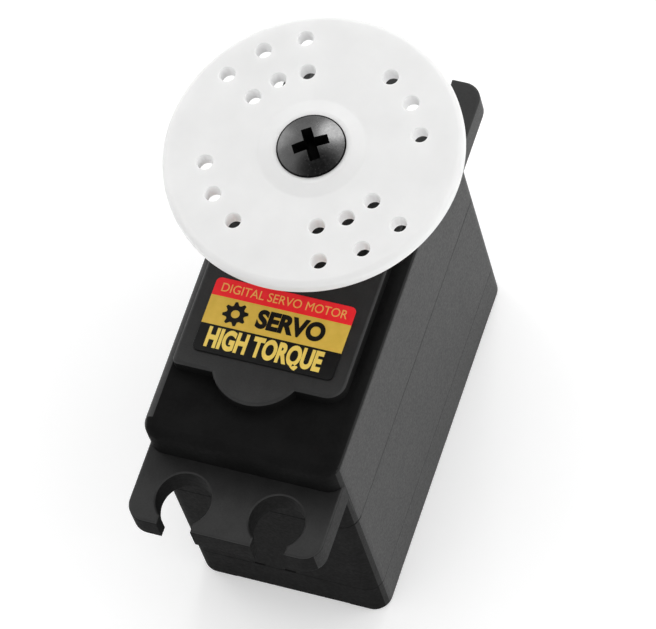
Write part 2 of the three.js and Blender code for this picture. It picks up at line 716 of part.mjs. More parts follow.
const onBoard = (x0, x1, y0, y1, height) =>
  box([x0, y0, BOARD.high + FIT], [x1, y1, BOARD.high + FIT + height]);

// ---------------------------------------------------------------- assembly

const servo = new THREE.Group();
servo.name = "servo_motor";

function add(name, body, material) {
  const mesh = new THREE.Mesh(geometryOf(body), material.clone());
  mesh.name = name;
  servo.add(mesh);
}

add("top_case", topCase(), casePlastic);
add("middle_case", middleCase(), casePlastic);
add("bottom_cover", bottomCover(), casePlastic);
corners.forEach((corner, i) => add(`case_screw_${i + 1}`, caseScrew(corner), caseScrewSteel));
add("name_label", label, labelFilm);

add("horn_disc", horn(), hornNylon);
add("horn_screw", hornScrew(), blackScrew);
add("output_shaft", outputShaft(), steel);
add("output_wheel", outputWheel(), brass);
add("upper_bearing_outer_race", outerRace(UPPER_BEARING, outputX), steel);
add("upper_bearing_ball_cage", ballCage(UPPER_BEARING, outputX), steel);
add("upper_bearing_inner_race", innerRace(UPPER_BEARING, outputX), steel);
add("lower_bearing_outer_race", outerRace(LOWER_BEARING, outputX), steel);
add("lower_bearing_ball_cage", ballCage(LOWER_BEARING, outputX), steel);
add("lower_bearing_inner_race", innerRace(LOWER_BEARING, outputX), steel);

const spacer = (z0, z1) => ring(PIN.radius + 0.05, PIN.radius * 2.2, z0, z1, { x: centreX, sides: 12 });
const gearStack = HUB.below + FIT;
add("centre_pin", cylinder(centreX, 0, PIN.radius, PIN.low, PIN.high, 16), steel);
add("end_pin", cylinder(endX, 0, PIN.radius, PIN.endLow, PIN.high, 16), steel);
add("lower_spacer", spacer(LEVEL.plateTop + FIT, GEAR_Z.firstWheel[0] - gearStack), brass);
add("upper_spacer", spacer(GEAR_Z.thirdPinion[1] + FIT, LEVEL.deckRoof - FIT), brass);

const secondWheelTurn = meshingTurn(TEETH.secondWheel, TEETH.firstPinion);
const secondPinionTurn = meshingTurn(TEETH.secondPinion, TEETH.thirdWheel);
const thirdPinionTurn = meshingTurn(TEETH.thirdPinion, TEETH.outputWheel);
const motorPinionTurn = meshingTurn(TEETH.motorPinion, TEETH.firstWheel);

add("first_wheel", sleevedWheel(TEETH.firstWheel, firstModule, GEAR_Z.firstWheel, centreX, 0), brass);
add(
  "first_pinion",
  sleevedPinion(TEETH.firstPinion, secondModule, GEAR_Z.firstPinion, GEAR_Z.firstWheel, centreX, 0),
  steel,
);
add(
  "second_wheel",
  sleevedWheel(TEETH.secondWheel, secondModule, GEAR_Z.secondWheel, endX, secondWheelTurn),
  brass,
);
add(
  "second_pinion",
  sleevedPinion(
    TEETH.secondPinion, thirdModule, GEAR_Z.secondPinion, GEAR_Z.secondWheel, endX, secondPinionTurn,
  ),
  steel,
);
add("third_wheel", sleevedWheel(TEETH.thirdWheel, thirdModule, GEAR_Z.thirdWheel, centreX, 0), brass);
add(
  "third_pinion",
  sleevedPinion(
    TEETH.thirdPinion, outputModule, GEAR_Z.thirdPinion, GEAR_Z.thirdWheel, centreX, thirdPinionTurn,
  ),
  steel,
);

add("motor_can", motorCan(), canSteel);
add("motor_end_cap", motorEndCap(), whitePlastic);
add("motor_magnet_1", motorMagnet(0), ferrite);
add("motor_magnet_2", motorMagnet(180), ferrite);
add("motor_shaft", cylinder(endX, 0, shaftR, canLow + 0.1, GEAR_Z.motorPinion[1], 16), steel);
add(
  "motor_pinion",
  cut(
    pinionBlank(TEETH.motorPinion, firstModule, GEAR_Z.motorPinion, endX, motorPinionTurn),
    cylinder(endX, 0, shaftR + FIT, canHigh, LEVEL.deck, 16),
  ),
  brass,
);
add("armature_core", armatureCore(), steel);
poleAngles.forEach((angle, i) => add(`armature_coil_${i + 1}`, coil(angle), copper));
add(
  "commutator",
  ring(shaftR + FIT, COMMUTATOR.radius, COMMUTATOR.low, COMMUTATOR.high, { x: endX, sides: 12 }),
  copper,
);
ends.forEach((side, i) => add(`motor_brush_${i + 1}`, motorBrush(side), brass));
ends.forEach((side, i) => {
  const { y, shankR, headR, low, headHigh } = MOTOR_SCREW;
  const seat = LEVEL.plateTop;
  const screw = turned(
    [[0, low], [shankR, low], [shankR, seat], [headR, seat], [headR, headHigh - 0.2], [headR * 0.7, headHigh],
      [0, headHigh]],
    { x: endX, y: side * y, sides: 12 },
  );
  add(`motor_screw_${i + 1}`, screw, caseScrewSteel);
});

add("sensor_body", sensorBody(), sensorBlue);
add("sensor_base", sensorBase, carbon);
add("sensor_spindle", sensorSpindle(), whitePlastic);
[-2, 0, 2].forEach((offset, i) => add(`sensor_leg_${i + 1}`, sensorLeg(offset), caseScrewSteel));

add("control_board", board(), laminate);
add("controller_chip", onBoard(0.5, 5.0, -2.2, 2.3, 1.0), chipBlack);
add("driver_chip", onBoard(-13.2, -10.2, -2.5, 2.5, 1.1), chipBlack);
add("board_capacitor", cylinder(9.6, 4.3, 1.6, BOARD.high + FIT, 7.2, 18), canSteel);
[-1.5, 0, 1.5].forEach((y, i) => {
  add(`cable_pad_${i + 1}`, onBoard(12.6, 13.8, y - 0.5, y + 0.5, 0.2), copper);
});

export default servo;
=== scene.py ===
"""Looks of the servo motor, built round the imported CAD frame.

Lengths are in millimetres up to the point where a mesh is made, and in metres after it.
The case's long side lies along X, with the output shaft towards +X, and Z points up.
"""

import json
import math

import bpy
from mathutils import Matrix, Vector


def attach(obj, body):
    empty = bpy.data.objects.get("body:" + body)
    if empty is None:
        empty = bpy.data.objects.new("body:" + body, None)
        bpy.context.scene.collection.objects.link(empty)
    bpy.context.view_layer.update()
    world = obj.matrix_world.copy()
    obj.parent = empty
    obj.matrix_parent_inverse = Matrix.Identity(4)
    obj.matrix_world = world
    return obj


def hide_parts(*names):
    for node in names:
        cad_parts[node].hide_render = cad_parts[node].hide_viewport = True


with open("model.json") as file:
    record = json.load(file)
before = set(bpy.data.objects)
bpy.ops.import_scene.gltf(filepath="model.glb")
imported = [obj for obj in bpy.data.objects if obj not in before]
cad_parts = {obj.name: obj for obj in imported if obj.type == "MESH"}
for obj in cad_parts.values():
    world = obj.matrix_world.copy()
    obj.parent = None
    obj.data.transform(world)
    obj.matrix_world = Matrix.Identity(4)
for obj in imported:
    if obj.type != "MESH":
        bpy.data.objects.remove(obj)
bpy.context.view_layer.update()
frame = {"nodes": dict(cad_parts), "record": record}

MM = 0.001
HOUSING, OUTPUT = "housing", "output"

# ---------------------------------------------------------------- sizes, in millimetres

GAP = 0.03  # play of a running or pressed joint
OUTPUT_X, CENTRE_X, END_X = 7.62, -0.57, -8.07  # the lines of the output, the middle gears and the motor

# Case: half length, half width and corner radius, outside and inside.
CASE_X, CASE_Y, CASE_R = 16.1, 8.4, 1.5
BAY_X, BAY_Y, BAY_R = 15.1, 7.4, 0.5
FOOT, FOOT_RISE = 3.3, 0.2  # length of a corner foot along each wall, and its height
FLOOR, COVER_TOP, PLATE_LOW, PLATE_TOP = 1.2, 4.25, 15.7, 16.9
SHELF_ROOF, DECK_ROOF = 26.2, 27.2
SHELF, DECK, BOSS = 27.4, 28.6, 31.0
SHELF_EDGE, DECK_EDGE = 0.9, 0.28  # rounding of the shelf's and the deck's upper edges
DECK_ROOT = SHELF - 1.0  # where the deck and the boss start, inside the shelf
DECK_END = -10.12  # where the deck stops towards the motor end
NOSE_X, NOSE_Y, NOSE_R = -8.25, 0.35, 4.0
BOSS_R = 6.2
PIN_BORE = 0.53

# Case screws, and the posts and bores that take them.
SCREW_X, SCREW_Y = 14.3, 6.4
POST_R, POST_TAP, POST_BORE, HEAD_POCKET = 1.7, 0.73, 0.85, 1.45

# Mounting ears and their keyhole slots.
EAR_X, EAR_Y, EAR_R = 22.1, 8.3, 1.6
FLANGE_LOW, FLANGE_HIGH = 21.3, 23.9
KEYHOLE_X, KEYHOLE_Y, KEYHOLE_R, KEYHOLE_NECK = 19.5, 4.0, 2.3, 1.45

# Horn, its hub ring and its screw.
HORN_R, HORN_LOW, HORN_HIGH, HORN_RING_HIGH = 12.25, 34.2, 35.7, 36.0
HORN_HOLE_R = 0.65
HORN_HOLES = ((7.05, 41.5), (10.15, 41.5), (8.7, 131.5))  # reach and angle of the middle hole of a row
HEAD_R, HEAD_RISE, HEAD_RINGS = 2.84, 0.48, 24
HEAD_LOW, HEAD_SHOULDER = HORN_RING_HIGH + GAP, HORN_RING_HIGH + 0.09

# Label: a film in three bands, black nearest to the motor end, with raised ink on it.
LABEL_X0, LABEL_X1, LABEL_Y0, LABEL_Y1, LABEL_R = -8.65, -2.0, -5.87, 6.1, 0.45
LABEL_BLACK_END, LABEL_GOLD_END = -6.18, -3.62
LABEL_LOW = DECK + GAP
LABEL_HIGH = LABEL_LOW + 0.1
INK_Z = LABEL_HIGH + 0.008

# ---------------------------------------------------------------- meshes

SHARPEST = 0.01  # smallest radius of an outline's corner
NEARLY_STRAIGHT = 0.05  # radians from straight within which a corner is left alone
MOST_OF_HALF = 0.48  # share of its shorter side that a rounded corner may use up


def make(name, points, faces):
    """A mesh object from points in millimetres."""
    mesh = bpy.data.meshes.new(name)
    mesh.from_pydata([tuple(c * MM for c in p) for p in points], [], faces)
    mesh.validate()
    mesh.update()
    obj = bpy.data.objects.new(name, mesh)
    bpy.context.scene.collection.objects.link(obj)
    return obj


def loft(name, loops):
    """Skins a stack of loops of equal length and caps both ends."""
    count = len(loops[0])
    points = [p for loop in loops for p in loop]
    faces = []
    for low in range(0, len(points) - count, count):
        high = low + count
        for i in range(count):
            j = (i + 1) % count
            faces.append((low + i, low + j, high + j, high + i))
    faces.append(tuple(reversed(range(count))))
    faces.append(tuple(range(len(points) - count, len(points))))
    return make(name, points, faces)


def stack(name, outline, rows):
    """Skins an outline function along rows of (inset, z)."""
    return loft(name, [[(x, y, z) for x, y in outline(inset)] for inset, z in rows])


def pull(name, flat, z0, z1):
    """A flat loop of (x, y) pulled straight up."""
    return loft(name, [[(x, y, z) for x, y in flat] for z in (z0, z1)])


def arc(cx, cy, r, a0, a1, steps):
    """Points on an arc, angles in degrees."""
    out = []
    for i in range(steps + 1):
        a = math.radians(a0 + (a1 - a0) * i / steps)
        out.append((cx + r * math.cos(a), cy + r * math.sin(a)))
    return out


def rounded_rectangle(x0, x1, y0, y1, r, steps):
    """A rounded rectangle, as a function from an inset to the outline moved inwards by it."""

    def outline(inset):
        ri = max(r - inset, SHARPEST)
        a0, a1, b0, b1 = x0 + inset + ri, x1 - inset - ri, y0 + inset + ri, y1 - inset - ri
        return (
            arc(a1, b0, ri, -90, 0, steps)
            + arc(a1, b1, ri, 0, 90, steps)
            + arc(a0, b1, ri, 90, 180, steps)
            + arc(a0, b0, ri, 180, 270, steps)
        )

    return outline


def circle(x, y, r, sides):
    """A circle, as a function from an inset to the outline moved inwards by it."""

    def outline(inset):
        return arc(x, y, r - inset, 0, 360 * (sides - 1) / sides, sides - 1)

    return outline


def prism(name, outline, z0, z1, low=0.0, high=0.0, steps=5):
    """An outline pulled from z0 to z1, its lower and upper edges rounded to those radii."""
    rows = []
    for i in range(steps + 1 if low else 0):
        a = math.radians(90 * i / steps)
        rows.append((low * (1 - math.sin(a)), z0 + low * (1 - math.cos(a))))
    if not low:
        rows.append((0, z0))
    if not high:
        rows.append((0, z1))
    for i in range(steps + 1 if high else 0):
        a = math.radians(90 * i / steps)
        rows.append((high * (1 - math.cos(a)), z1 - high * (1 - math.sin(a))))
    return stack(name, outline, rows)


def lathe(name, profile, x=0.0, y=0.0, sides=64):
    """A profile of (radius, z) turned about a vertical axis. It is closed, or ends on the axis."""
    on_axis = profile[0][0] < 1e-6
    rows = profile[1:-1] if on_axis else profile
    points, faces, count = [], [], len(rows)
    for i in range(sides):
        a = 2 * math.pi * i / sides
        points += [(x + r * math.cos(a), y + r * math.sin(a), z) for r, z in rows]
    for i in range(sides):
        here, there = i * count, (i + 1) % sides * count
        for k in range(count - 1 if on_axis else count):
            m = (k + 1) % count
            faces.append((here + k, there + k, there + m, here + m))
    if on_axis:
        points += [(x, y, profile[0][1]), (x, y, profile[-1][1])]
        low, high = len(points) - 2, len(points) - 1
        for i in range(sides):
            here, there = i * count, (i + 1) % sides * count
            faces.append((low, there, here))
            faces.append((high, here + count - 1, there + count - 1))
    return make(name, points, faces)


def rounded(points, r, steps=4):
    """A line of (radius, z) points, each inner corner rounded to r or to its own third value."""
    out = [points[0][:2]]
    for before, here, after in zip(points, points[1:], points[2:]):
        radius = here[2] if len(here) > 2 else r
        if radius <= 0:
            out.append(here[:2])
            continue
        p, q, s = Vector(before[:2]), Vector(here[:2]), Vector(after[:2])
        u, v = (p - q).normalized(), (s - q).normalized()
        turn = math.acos(max(-1, min(1, u.dot(v))))
        if turn > math.pi - NEARLY_STRAIGHT:
            out.append(here[:2])
            continue
        room = MOST_OF_HALF * min((p - q).length, (s - q).length)
        back = min(radius / math.tan(turn / 2), room)
        true_r = back * math.tan(turn / 2)
        middle = q + (u + v).normalized() * (true_r / math.sin(turn / 2))
        a, b = q + u * back - middle, q + v * back - middle
        sweep = a.angle_signed(b)
        for i in range(steps + 1):
            out.append(tuple(middle + Matrix.Rotation(-sweep * (i / steps), 2) @ a))
    out.append(points[-1][:2])
    return out


def box(name, x0, x1, y0, y1, z0, z1):
    return pull(name, [(x0, y0), (x1, y0), (x1, y1), (x0, y1)], z0, z1)


def boolean(target, operation, *tools):
    """Joins or cuts the target with each tool in turn, and removes the tools."""
    for tool in tools:
        step = target.modifiers.new("step", "BOOLEAN")
        step.operation = operation
        step.solver = "EXACT"
        step.object = tool
        graph = bpy.context.evaluated_depsgraph_get()
        made = bpy.data.meshes.new_from_object(target.evaluated_get(graph))
        target.modifiers.clear()
        old = target.data
        target.data = made
        made.name = old.name
        bpy.data.meshes.remove(old)
        spent = tool.data
        bpy.data.objects.remove(tool)
        bpy.data.meshes.remove(spent)


def join(target, *tools):
    boolean(target, "UNION", *tools)


def cut(target, *tools):
    boolean(target, "DIFFERENCE", *tools)


def smooth(obj, angle):
    """Smooth shading that keeps flat faces flat and edges sharper than the angle crisp."""
    obj.data.shade_smooth()
    obj.data.set_sharp_from_angle(angle=math.radians(angle))
    weighted = obj.modifiers.new("weighted", "WEIGHTED_NORMAL")
    weighted.keep_sharp = True


def give(obj, finish):
    """Makes a material the object's only one."""
    obj.data.materials.clear()
    obj.data.materials.append(finish)


def finish_piece(obj, body, slot, finish, *replaced, angle=32):
    """Shades a piece, gives it its finish, puts it under its body's empty and hides the CAD nodes it stands
    for. The slot is not used.
    """
    smooth(obj, angle)
    give(obj, finish)
    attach(obj, body)
    if replaced:
        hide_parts(*replaced)


# ---------------------------------------------------------------- materials

NOISE_LOW, NOISE_HIGH = 0.3, 0.7  # the range that most of a noise texture's values lie in


def noise_node(tree, size, detail, stretch=(1, 1, 1)):
    """A noise texture in the object's own frame, its blobs about size millimetres across."""
    coordinates = tree.nodes.new("ShaderNodeTexCoord")
    mapping = tree.nodes.new("ShaderNodeMapping")
    mapping.inputs["Scale"].default_value = stretch
    texture = tree.nodes.new("ShaderNodeTexNoise")
    texture.inputs["Scale"].default_value = 1 / (size * MM)
    texture.inputs["Detail"].default_value = detail
    texture.inputs["Roughness"].default_value = 0.55
    tree.links.new(coordinates.outputs["Object"], mapping.inputs["Vector"])
    tree.links.new(mapping.outputs["Vector"], texture.inputs["Vector"])
    return texture


def spread(tree, source, low, high):
    """Maps the usual range of a noise onto low to high."""
    node = tree.nodes.new("ShaderNodeMapRange")
    node.inputs["From Min"].default_value = NOISE_LOW
    node.inputs["From Max"].default_value = NOISE_HIGH
    node.inputs["To Min"].default_value = low
    node.inputs["To Max"].default_value = high
    tree.links.new(source.outputs["Fac"], node.inputs["Value"])
    return node.outputs["Result"]


def material(
    name, dark, light, rough, blotch, grain, relief, metallic=0.0, brushed=(1, 1, 1), **sockets
):
    """A finish whose colour drifts between dark and light and whose gloss and relief vary.

    blotch is the size of the colour's patches, grain that of the relief, and relief its depth.
    """
    mat = bpy.data.materials.new(name)
    mat.use_nodes = True
    tree = mat.node_tree
    shader = tree.nodes["Principled BSDF"]
    shader.inputs["Metallic"].default_value = metallic
    for socket, value in sockets.items():
        shader.inputs[socket.replace("_", " ")].default_value = value

    patches = noise_node(tree, blotch, detail=4)
    ramp = tree.nodes.new("ShaderNodeValToRGB")
    for stop, position, colour in zip(ramp.color_ramp.elements, (NOISE_LOW, NOISE_HIGH), (dark, light)):
        stop.position = position
        stop.color = (*colour, 1)
    tree.links.new(patches.outputs["Fac"], ramp.inputs["Fac"])
    tree.links.new(ramp.outputs["Color"], shader.inputs["Base Color"])

    fine = noise_node(tree, grain, detail=2, stretch=brushed)
    tree.links.new(spread(tree, fine, *rough), shader.inputs["Roughness"])
    bump = tree.nodes.new("ShaderNodeBump")
    bump.inputs["Strength"].default_value = 1.0
    bump.inputs["Distance"].default_value = relief * MM
    tree.links.new(fine.outputs["Fac"], bump.inputs["Height"])
    tree.links.new(bump.outputs["Normal"], shader.inputs["Normal"])
    return mat


def metal(name, dark, light, rough, **more):
    return material(name, dark, light, rough, metallic=1.0, **more)


def grey(value):
    return (value, value, value)


PLASTIC = material(
    "case_plastic", grey(0.008), grey(0.014), (0.48, 0.62), blotch=1.6, grain=0.18, relief=0.009,
    Specular_IOR_Level=0.43,
)
# Painted shade: a half-dark plastic for the band where the painted shade fades out.
HALF_PAINTED_SHADE_PLASTIC = material(
    "case_plastic_half_painted_shade", grey(0.006), grey(0.01), (0.6, 0.72), blotch=2.0, grain=0.2, relief=0.01,
    Specular_IOR_Level=0.2,
)
# Painted shade: a darker, less reflective plastic for the motor end, the shelf and the walls that lie in
# shade.
PAINTED_SHADE_PLASTIC = material(
    "case_plastic_painted_shade", grey(0.004), grey(0.007), (0.7, 0.85), blotch=3.0, grain=0.3, relief=0.006,
    Specular_IOR_Level=0.07,
)
NYLON = material(
    "horn_nylon", (0.745, 0.745, 0.742), (0.785, 0.785, 0.782), (0.4, 0.52), blotch=4.0, grain=0.35,
    relief=0.004, Subsurface_Weight=0.5, Subsurface_Scale=0.0012, Subsurface_Radius=(1, 1, 1),
    Specular_IOR_Level=0.3,
)
# Painted light: the hole walls are lighter than the disc, for light shining through the nylon.
NYLON_BORE_PAINTED_LIGHT = material(
    "horn_nylon_bore_painted_light", grey(0.9), grey(0.93), (0.5, 0.6), blotch=4.0, grain=0.35, relief=0.002,
    Specular_IOR_Level=0.3,
)
BLACK_SCREW = metal("black_screw", grey(0.1), grey(0.13), (0.2, 0.28), blotch=1.0, grain=0.2, relief=0.003)
# Painted shade: near-black faces in the screw's recess and on its head's outer wall.
PAINTED_RECESS_SHADE = material(
    "screw_painted_shade", grey(0.001), grey(0.002), (0.6, 0.7), blotch=1.0, grain=0.2, relief=0.002,
    Specular_IOR_Level=0.05,
)
ZINC = metal(
    "case_screw", (0.42, 0.43, 0.45), (0.56, 0.57, 0.58), (0.26, 0.4), blotch=0.8, grain=0.15, relief=0.004
)
STEEL = metal(
    "steel", (0.44, 0.45, 0.46), (0.56, 0.57, 0.58), (0.2, 0.34), blotch=1.0, grain=0.08, relief=0.003,
    brushed=(1, 1, 8),
)
BRASS = metal(
    "brass", (0.56, 0.36, 0.12), (0.7, 0.48, 0.18), (0.22, 0.36), blotch=1.0, grain=0.08, relief=0.003,
    brushed=(1, 1, 6),
)
CAN_STEEL = metal(
    "can_steel", (0.5, 0.51, 0.52), (0.6, 0.61, 0.62), (0.3, 0.42), blotch=2.5, grain=0.12, relief=0.004,
    brushed=(1, 1, 5),
)
FERRITE = material("ferrite", grey(0.03), grey(0.06), (0.6, 0.8), blotch=0.6, grain=0.1, relief=0.02)
COPPER = metal(
    "copper", (0.52, 0.16, 0.06), (0.68, 0.26, 0.1), (0.24, 0.4), blotch=0.5, grain=0.14, relief=0.03,
    brushed=(0.2, 0.2, 1),
)
CARBON = material("carbon", grey(0.02), grey(0.04), (0.55, 0.7), blotch=1.0, grain=0.1, relief=0.006)
LAMINATE = material(
    "laminate", (0.01, 0.12, 0.035), (0.02, 0.17, 0.05), (0.3, 0.45), blotch=1.2, grain=0.25, relief=0.01
)
CHIP = material("chip_black", grey(0.012), grey(0.02), (0.45, 0.6), blotch=0.8, grain=0.08, relief=0.008)
SENSOR_BLUE = material(
    "sensor_blue", (0.02, 0.06, 0.2), (0.035, 0.09, 0.27), (0.4, 0.55), blotch=1.0, grain=0.15, relief=0.008
)
WHITE_PLASTIC = material(
    "white_plastic", (0.72, 0.7, 0.64), (0.8, 0.78, 0.72), (0.4, 0.55), blotch=1.5, grain=0.2, relief=0.006
)


def ink(name, dark, light):
    """Printed film, satin and almost smooth, its colour barely drifting."""
    return material(
        name, dark, light, (0.3, 0.4), blotch=0.8, grain=0.3, relief=0.002, Specular_IOR_Level=0.25
    )


INK = {
    "red": ink("label_red", (0.92, 0.018, 0.026), (0.97, 0.026, 0.036)),
    "gold": ink("label_gold", (0.7, 0.46, 0.065), (0.78, 0.52, 0.085)),
    "black": ink("label_black", grey(0.0015), grey(0.003)),
    "peach": ink("label_peach", (0.9, 0.42, 0.1), (0.95, 0.48, 0.13)),
    "bright": ink("label_bright", (0.84, 0.6, 0.12), (0.91, 0.68, 0.15)),
}

# ---------------------------------------------------------------- housing shells

CORNERS = [(1, 1), (-1, 1), (-1, -1), (1, -1)]
ENDS = (1, -1)


def centred(half_x, half_y, r, steps):
    return rounded_rectangle(-half_x, half_x, -half_y, half_y, r, steps)


def case_prism(name, z0, z1, low, high, steps):
    return prism(name, centred(CASE_X, CASE_Y, CASE_R, 15), z0, z1, low, high, steps)


def bay(z0, z1):
    """A cutter as wide as the space inside the case."""
    return prism("bay", centred(BAY_X, BAY_Y, BAY_R, 4), z0, z1)


def cylinder(name, x, y, r, z0, z1, sides=32):
    return prism(name, circle(x, y, r, sides), z0, z1)


def at_corners(name, r, z0, z1, sides=28):
    return [cylinder(name, i * SCREW_X, j * SCREW_Y, r, z0, z1, sides) for i, j in CORNERS]


def flared(name, outline, z0, z1, lip=0.12):
    """A cutter that leaves a small chamfer at both mouths of the hole."""
    past = 0.1
    rows = [(-lip - past, z0 - past), (0, z0 + lip), (0, z1 - lip), (-lip - past, z1 + past)]
    return stack(name, outline, rows)


# Which faces of the case get painted shade, as a darker, less glossy plastic: those of the motor end, the
# shelf with its rounded edge on the -Y side, the walls between shelf and deck, and the ears' edges at the
# motor end. A face's turn is how far its normal points along Y.
SHADE_END_TURN, SHADE_FADE_BAND = 0.95, 0.12  # turn at which the painted shade ends, and width of the band where it fades
FAR_SIDE_TURN = 0.2  # added to the turn on the +Y side
LEVEL, UPRIGHT = 0.9, 0.3  # least normal.z of a level face, and most of a wall


def painted_shade_reach(x, y, z, normal):
    """How far a face lies inside the parts painted with shade: 1 or more is inside, 0 or less is outside.
    """
    past_wall = CASE_X + 0.05
    near_end = CASE_X - CASE_R < -x < past_wall and normal.z > -0.5
    rim = SHELF - SHELF_EDGE - 0.05 < z < SHELF and -x <= CASE_X - CASE_R and normal.y < 0
    if abs(z - SHELF) < 0.02 and normal.z > LEVEL:
        return 1
    wall = abs(normal.z) < UPRIGHT
    if SHELF < z < DECK - 0.2 and wall:
        return 1
    if FLANGE_LOW < z < FLANGE_HIGH and -x > past_wall and wall:
        outer_side = abs(y) >= 7.5 and normal.x >= -0.7
        return 0.5 if outer_side else 1
    if near_end or rim:
        turn = -normal.y if normal.y < 0 else normal.y + FAR_SIDE_TURN
        return (SHADE_END_TURN - turn) / SHADE_FADE_BAND
    return 0


def paint_light_and_shade(piece, finish, chosen):
    """Paints light and shade: gives another material to the faces that pass a test of their centre and
    normal.
    """
    index = len(piece.data.materials)
    piece.data.materials.append(finish)
    for face in piece.data.polygons:
        if chosen(*(face.center / MM), face.normal):
            face.material_index = index


def paint_case_shade(shell):
    """Paints shade onto a shell as a darker, less glossy plastic, with a narrow band of half-painted shade
    in between.
    """
    paint_light_and_shade(shell, HALF_PAINTED_SHADE_PLASTIC, lambda *face: painted_shade_reach(*face) > 0)
    paint_light_and_shade(shell, PAINTED_SHADE_PLASTIC, lambda *face: painted_shade_reach(*face) >= 1)


def deck_block(name, outline):
    """A block that stands on the shelf and is as high as the deck."""
    return prism(name, outline, DECK_ROOT, DECK, high=DECK_EDGE, steps=4)


def keyhole(end, side):
    """The cutters of a round hole in an ear and of its neck, which opens to the ear's outer edge."""
    x, y = end * KEYHOLE_X, side * KEYHOLE_Y
    x0, x1 = sorted((x, end * (EAR_X + 0.9)))
    neck = rounded_rectangle(x0, x1, y - KEYHOLE_NECK, y + KEYHOLE_NECK, 0.05, 1)
    return (
        flared("hole", circle(x, y, KEYHOLE_R, 56), FLANGE_LOW, FLANGE_HIGH),
        flared("neck", neck, FLANGE_LOW, FLANGE_HIGH),
    )


def top_case():
    shell = case_prism("top_case_shell", PLATE_TOP, SHELF, low=0.12, high=SHELF_EDGE, steps=11)
    ears = centred(EAR_X, EAR_Y, EAR_R, 8)
    flange = prism("flange", ears, FLANGE_LOW, FLANGE_HIGH, low=0.2, high=0.2, steps=3)
    deck = deck_block("deck", rounded_rectangle(DECK_END, 15.2, -7.1, 7.4, 1.5, 10))
    lobe = deck_block("lobe", rounded_rectangle(DECK_END, -7, 4, 7.4, 0.5, 6))
    nose = deck_block("nose", circle(NOSE_X, NOSE_Y, NOSE_R, 96))
    boss_profile = [(0, DECK_ROOT), (BOSS_R, DECK_ROOT, 0), (BOSS_R, BOSS), (0, BOSS)]
    boss = lathe("boss", rounded(boss_profile, 0.35), x=OUTPUT_X, sides=96)
    join(shell, flange, deck, lobe, nose, boss)

    raised = rounded_rectangle(CENTRE_X - 3, 14.3, -6.8, 6.8, 0.8, 4)
    cut(shell, bay(PLATE_TOP - 3, SHELF_ROOF), prism("raised", raised, PLATE_TOP, DECK_ROOF))

    # The arc in the roof that the output gear's stop meets.
    inner, outer, first, last = 5.4, 6.2, 100, 260
    sector = arc(OUTPUT_X, 0, outer, first, last, 24) + arc(OUTPUT_X, 0, inner, last, first, 24)
    stop = pull("stop", sector, 26.5, SHELF)
    join(shell, stop, *at_corners("post", POST_R, PLATE_TOP, SHELF_ROOF + 0.1))

    # The upper bearing's seat, and the narrower mouth above it.
    seat_r, seat_low, seat_top, mouth_r, mouth_top = 5.03, 26.3, 30.35, 4.4, 30.8
    past = BOSS + 0.1
    profile = [
        (0, seat_low), (seat_r, seat_low), (seat_r, seat_top), (mouth_r, seat_top), (mouth_r, mouth_top),
        (mouth_r + 0.25, past), (0, past),
    ]
    seat = lathe("seat", profile, x=OUTPUT_X, sides=96)
    pins = [cylinder("pin_bore", x, 0, PIN_BORE, 20, 27.95, 24) for x in (CENTRE_X, END_X)]
    cut(shell, seat, *pins, *at_corners("bore", POST_TAP, PLATE_TOP - 1, 20.5, 20))
    for end in ENDS:
        for side in ENDS:
            cut(shell, *keyhole(end, side))
    finish_piece(shell, HOUSING, "case_plastic", PLASTIC, "top_case")
    paint_case_shade(shell)


def middle_case():
    shell = case_prism("middle_case_shell", COVER_TOP, PLATE_TOP, low=0.05, high=0.12, steps=2)
    cut(shell, bay(COVER_TOP - 1, PLATE_LOW))
    inside = PLATE_LOW + 0.1
    boss = cylinder("boss", OUTPUT_X, 0, 4.0, 13.9, inside, 48)
    pin_boss = cylinder("pin_boss", CENTRE_X, 0, 1.0, 14.0, inside, 24)
    sensor_r, sensor_wall, sensor_low = 5.03, 5.8, 9.4
    ring = [(sensor_r, sensor_low), (sensor_wall, sensor_low), (sensor_wall, inside), (sensor_r, inside)]
    wall = lathe("sensor_wall", ring, x=OUTPUT_X, sides=64)
    join(shell, boss, pin_boss, wall, *at_corners("post", POST_R, COVER_TOP, inside))
    # Through the plate: the lower bearing's seat, and bores for shaft, pin, motor neck and motor screws.
    past = PLATE_TOP + 1.1
    holes = [
        cylinder("seat", OUTPUT_X, 0, 3.03, 14.5, past, 48),
        cylinder("shaft_bore", OUTPUT_X, 0, 2.2, 12.5, 15, 32),
        cylinder("pin_bore", CENTRE_X, 0, PIN_BORE, 14.55, past, 24),
        cylinder("neck_bore", END_X, 0, 1.95, 14.7, past, 40),
    ]
    holes += [cylinder("motor_screw_bore", END_X, side * 3.5, 0.53, 14.7, past, 20) for side in ENDS]
    cut(shell, *holes, *at_corners("bore", POST_BORE, 3, past, 20))
    # Two short notches over the joint line of the motor end.
    notches = [
        box("notch", -CASE_X - 1, -CASE_X + 0.28, y - 0.5, y + 0.5, COVER_TOP - 1, COVER_TOP + 0.35)
        for y in (2.2, -0.5)
    ]
    cut(shell, *notches)
    finish_piece(shell, HOUSING, "case_plastic", PLASTIC, "middle_case")
    paint_case_shade(shell)


